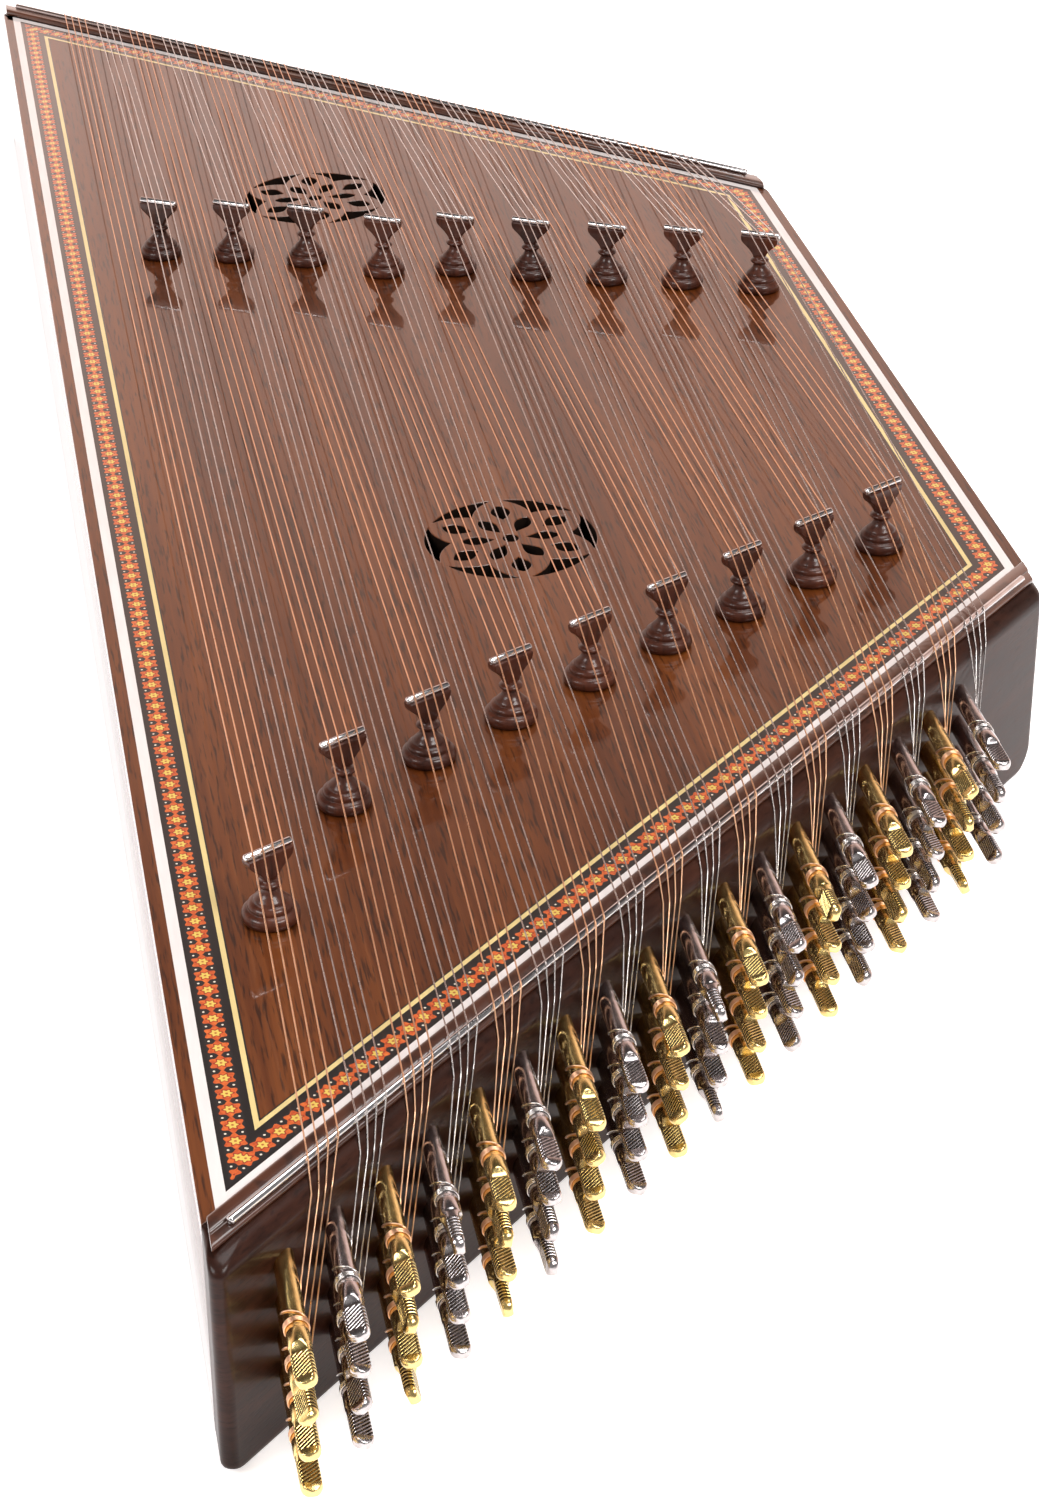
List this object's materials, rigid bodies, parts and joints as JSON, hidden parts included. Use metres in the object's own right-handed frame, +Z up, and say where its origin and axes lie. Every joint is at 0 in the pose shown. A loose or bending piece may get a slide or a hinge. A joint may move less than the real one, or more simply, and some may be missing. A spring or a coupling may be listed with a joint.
{
  "type": "hammered dulcimer",
  "caption": "Trapezoidal box zither with crossed courses of wire strings over movable turned bridges, tuned by pins along one oblique end.",
  "frame": {"origin": "centre of the underside of the back plate", "axes": "+X along the strings towards the tuning pins, -Y the long side, +Z up from the underside to the soundboard"},
  "size_m": [0.924, 0.2786, 0.0834],
  "materials": {
    "soundboard_walnut": "high-gloss lacquered reddish walnut",
    "dark_walnut": "high-gloss lacquered very dark walnut",
    "nut_walnut": "gloss lacquered walnut",
    "rosewood": "satin turned rosewood",
    "softwood": "unfinished hidden softwood",
    "white_line": "gloss white inlay line",
    "khatam": "lacquered marquetry band of small stars",
    "cream_line": "lacquered pale wood inlay line",
    "chrome_rod": "polished",
    "brass_pin": "polished brass plating",
    "nickel_pin": "polished dark nickel plating",
    "bronze_wire": "drawn copper-coloured wire",
    "steel_wire": "drawn steel wire"
  },
  "bodies": {
    "root": {"soundboard": "soundboard_walnut", "white_binding": "white_line", "khatam_band": "khatam", "cream_line": "cream_line", "back_plate": "soundboard_walnut", "front_rail": "dark_walnut", "rear_rail": "dark_walnut", "tuning_pin_block": "dark_walnut", "pin_block_core": "softwood", "hitch_block": "dark_walnut", "hitch_block_core": "softwood", "right_nut": "nut_walnut", "left_nut": "nut_walnut", "right_nut_rod": "chrome_rod", "left_nut_rod": "chrome_rod", "sound_post_1": "softwood", "sound_post_2": "softwood", "sound_post_3": "softwood", "sound_post_4": "softwood", "sound_post_5": "softwood", "tuning_pins_brass_lower": "brass_pin", "tuning_pins_steel_lower": "nickel_pin", "strings_brass": "bronze_wire", "strings_steel": "steel_wire"},
    "bass_bridge_1": {"bass_bridge_1": "rosewood"},
    "tuning_pin_01": {"tuning_pin_01": "brass_pin"},
    "treble_bridge_1": {"treble_bridge_1": "rosewood"},
    "tuning_pin_02": {"tuning_pin_02": "nickel_pin"},
    "bass_bridge_2": {"bass_bridge_2": "rosewood"},
    "tuning_pin_03": {"tuning_pin_03": "brass_pin"},
    "treble_bridge_2": {"treble_bridge_2": "rosewood"},
    "tuning_pin_04": {"tuning_pin_04": "nickel_pin"},
    "bass_bridge_3": {"bass_bridge_3": "rosewood"},
    "tuning_pin_05": {"tuning_pin_05": "brass_pin"},
    "treble_bridge_3": {"treble_bridge_3": "rosewood"},
    "tuning_pin_06": {"tuning_pin_06": "nickel_pin"},
    "bass_bridge_4": {"bass_bridge_4": "rosewood"},
    "tuning_pin_07": {"tuning_pin_07": "brass_pin"},
    "treble_bridge_4": {"treble_bridge_4": "rosewood"},
    "tuning_pin_08": {"tuning_pin_08": "nickel_pin"},
    "bass_bridge_5": {"bass_bridge_5": "rosewood"},
    "tuning_pin_09": {"tuning_pin_09": "brass_pin"},
    "treble_bridge_5": {"treble_bridge_5": "rosewood"},
    "tuning_pin_10": {"tuning_pin_10": "nickel_pin"},
    "bass_bridge_6": {"bass_bridge_6": "rosewood"},
    "tuning_pin_11": {"tuning_pin_11": "brass_pin"},
    "treble_bridge_6": {"treble_bridge_6": "rosewood"},
    "tuning_pin_12": {"tuning_pin_12": "nickel_pin"},
    "bass_bridge_7": {"bass_bridge_7": "rosewood"},
    "tuning_pin_13": {"tuning_pin_13": "brass_pin"},
    "treble_bridge_7": {"treble_bridge_7": "rosewood"},
    "tuning_pin_14": {"tuning_pin_14": "nickel_pin"},
    "bass_bridge_8": {"bass_bridge_8": "rosewood"},
    "tuning_pin_15": {"tuning_pin_15": "brass_pin"},
    "treble_bridge_8": {"treble_bridge_8": "rosewood"},
    "tuning_pin_16": {"tuning_pin_16": "nickel_pin"},
    "bass_bridge_9": {"bass_bridge_9": "rosewood"},
    "tuning_pin_17": {"tuning_pin_17": "brass_pin"},
    "treble_bridge_9": {"treble_bridge_9": "rosewood"},
    "tuning_pin_18": {"tuning_pin_18": "nickel_pin"}
  },
  "joints": [
    {"name": "course_01_bridge_slide", "type": "slide", "parent": "root", "child": "bass_bridge_1", "axis": [1, 0, 0], "range_m": [-0.015, 0.015], "deforming": ["strings_brass"]},
    {"name": "course_01_pin_turn", "type": "hinge", "parent": "root", "child": "tuning_pin_01", "pos_m": [0.43496, -0.12148, 0.0493], "axis": [1, 0, 0], "continuous": true},
    {"name": "course_02_bridge_slide", "type": "slide", "parent": "root", "child": "treble_bridge_1", "axis": [1, 0, 0], "range_m": [-0.015, 0.015], "deforming": ["strings_steel"]},
    {"name": "course_02_pin_turn", "type": "hinge", "parent": "root", "child": "tuning_pin_02", "pos_m": [0.42195, -0.10826, 0.0493], "axis": [1, 0, 0], "continuous": true},
    {"name": "course_03_bridge_slide", "type": "slide", "parent": "root", "child": "bass_bridge_2", "axis": [1, 0, 0], "range_m": [-0.015, 0.015], "deforming": ["strings_brass"]},
    {"name": "course_03_pin_turn", "type": "hinge", "parent": "root", "child": "tuning_pin_03", "pos_m": [0.40894, -0.09504, 0.0493], "axis": [1, 0, 0], "continuous": true},
    {"name": "course_04_bridge_slide", "type": "slide", "parent": "root", "child": "treble_bridge_2", "axis": [1, 0, 0], "range_m": [-0.015, 0.015], "deforming": ["strings_steel"]},
    {"name": "course_04_pin_turn", "type": "hinge", "parent": "root", "child": "tuning_pin_04", "pos_m": [0.39593, -0.08182, 0.0493], "axis": [1, 0, 0], "continuous": true},
    {"name": "course_05_bridge_slide", "type": "slide", "parent": "root", "child": "bass_bridge_3", "axis": [1, 0, 0], "range_m": [-0.015, 0.015], "deforming": ["strings_brass"]},
    {"name": "course_05_pin_turn", "type": "hinge", "parent": "root", "child": "tuning_pin_05", "pos_m": [0.38292, -0.0686, 0.0493], "axis": [1, 0, 0], "continuous": true},
    {"name": "course_06_bridge_slide", "type": "slide", "parent": "root", "child": "treble_bridge_3", "axis": [1, 0, 0], "range_m": [-0.015, 0.015], "deforming": ["strings_steel"]},
    {"name": "course_06_pin_turn", "type": "hinge", "parent": "root", "child": "tuning_pin_06", "pos_m": [0.3699, -0.05538, 0.0493], "axis": [1, 0, 0], "continuous": true},
    {"name": "course_07_bridge_slide", "type": "slide", "parent": "root", "child": "bass_bridge_4", "axis": [1, 0, 0], "range_m": [-0.015, 0.015], "deforming": ["strings_brass"]},
    {"name": "course_07_pin_turn", "type": "hinge", "parent": "root", "child": "tuning_pin_07", "pos_m": [0.35689, -0.04216, 0.0493], "axis": [1, 0, 0], "continuous": true},
    {"name": "course_08_bridge_slide", "type": "slide", "parent": "root", "child": "treble_bridge_4", "axis": [1, 0, 0], "range_m": [-0.015, 0.015], "deforming": ["strings_steel"]},
    {"name": "course_08_pin_turn", "type": "hinge", "parent": "root", "child": "tuning_pin_08", "pos_m": [0.34388, -0.02894, 0.0493], "axis": [1, 0, 0], "continuous": true},
    {"name": "course_09_bridge_slide", "type": "slide", "parent": "root", "child": "bass_bridge_5", "axis": [1, 0, 0], "range_m": [-0.015, 0.015], "deforming": ["strings_brass"]},
    {"name": "course_09_pin_turn", "type": "hinge", "parent": "root", "child": "tuning_pin_09", "pos_m": [0.33087, -0.01572, 0.0493], "axis": [1, 0, 0], "continuous": true},
    {"name": "course_10_bridge_slide", "type": "slide", "parent": "root", "child": "treble_bridge_5", "axis": [1, 0, 0], "range_m": [-0.015, 0.015], "deforming": ["strings_steel"]},
    {"name": "course_10_pin_turn", "type": "hinge", "parent": "root", "child": "tuning_pin_10", "pos_m": [0.31785, -0.00249, 0.0493], "axis": [1, 0, 0], "continuous": true},
    {"name": "course_11_bridge_slide", "type": "slide", "parent": "root", "child": "bass_bridge_6", "axis": [1, 0, 0], "range_m": [-0.015, 0.015], "deforming": ["strings_brass"]},
    {"name": "course_11_pin_turn", "type": "hinge", "parent": "root", "child": "tuning_pin_11", "pos_m": [0.30484, 0.01073, 0.0493], "axis": [1, 0, 0], "continuous": true},
    {"name": "course_12_bridge_slide", "type": "slide", "parent": "root", "child": "treble_bridge_6", "axis": [1, 0, 0], "range_m": [-0.015, 0.015], "deforming": ["strings_steel"]},
    {"name": "course_12_pin_turn", "type": "hinge", "parent": "root", "child": "tuning_pin_12", "pos_m": [0.29183, 0.02395, 0.0493], "axis": [1, 0, 0], "continuous": true},
    {"name": "course_13_bridge_slide", "type": "slide", "parent": "root", "child": "bass_bridge_7", "axis": [1, 0, 0], "range_m": [-0.015, 0.015], "deforming": ["strings_brass"]},
    {"name": "course_13_pin_turn", "type": "hinge", "parent": "root", "child": "tuning_pin_13", "pos_m": [0.27882, 0.03717, 0.0493], "axis": [1, 0, 0], "continuous": true},
    {"name": "course_14_bridge_slide", "type": "slide", "parent": "root", "child": "treble_bridge_7", "axis": [1, 0, 0], "range_m": [-0.015, 0.015], "deforming": ["strings_steel"]},
    {"name": "course_14_pin_turn", "type": "hinge", "parent": "root", "child": "tuning_pin_14", "pos_m": [0.26581, 0.05039, 0.0493], "axis": [1, 0, 0], "continuous": true},
    {"name": "course_15_bridge_slide", "type": "slide", "parent": "root", "child": "bass_bridge_8", "axis": [1, 0, 0], "range_m": [-0.015, 0.015], "deforming": ["strings_brass"]},
    {"name": "course_15_pin_turn", "type": "hinge", "parent": "root", "child": "tuning_pin_15", "pos_m": [0.25279, 0.06361, 0.0493], "axis": [1, 0, 0], "continuous": true},
    {"name": "course_16_bridge_slide", "type": "slide", "parent": "root", "child": "treble_bridge_8", "axis": [1, 0, 0], "range_m": [-0.015, 0.015], "deforming": ["strings_steel"]},
    {"name": "course_16_pin_turn", "type": "hinge", "parent": "root", "child": "tuning_pin_16", "pos_m": [0.23978, 0.07683, 0.0493], "axis": [1, 0, 0], "continuous": true},
    {"name": "course_17_bridge_slide", "type": "slide", "parent": "root", "child": "bass_bridge_9", "axis": [1, 0, 0], "range_m": [-0.015, 0.015], "deforming": ["strings_brass"]},
    {"name": "course_17_pin_turn", "type": "hinge", "parent": "root", "child": "tuning_pin_17", "pos_m": [0.22677, 0.09005, 0.0493], "axis": [1, 0, 0], "continuous": true},
    {"name": "course_18_bridge_slide", "type": "slide", "parent": "root", "child": "treble_bridge_9", "axis": [1, 0, 0], "range_m": [-0.015, 0.015], "deforming": ["strings_steel"]},
    {"name": "course_18_pin_turn", "type": "hinge", "parent": "root", "child": "tuning_pin_18", "pos_m": [0.21376, 0.10327, 0.0493], "axis": [1, 0, 0], "continuous": true}
  ]
}
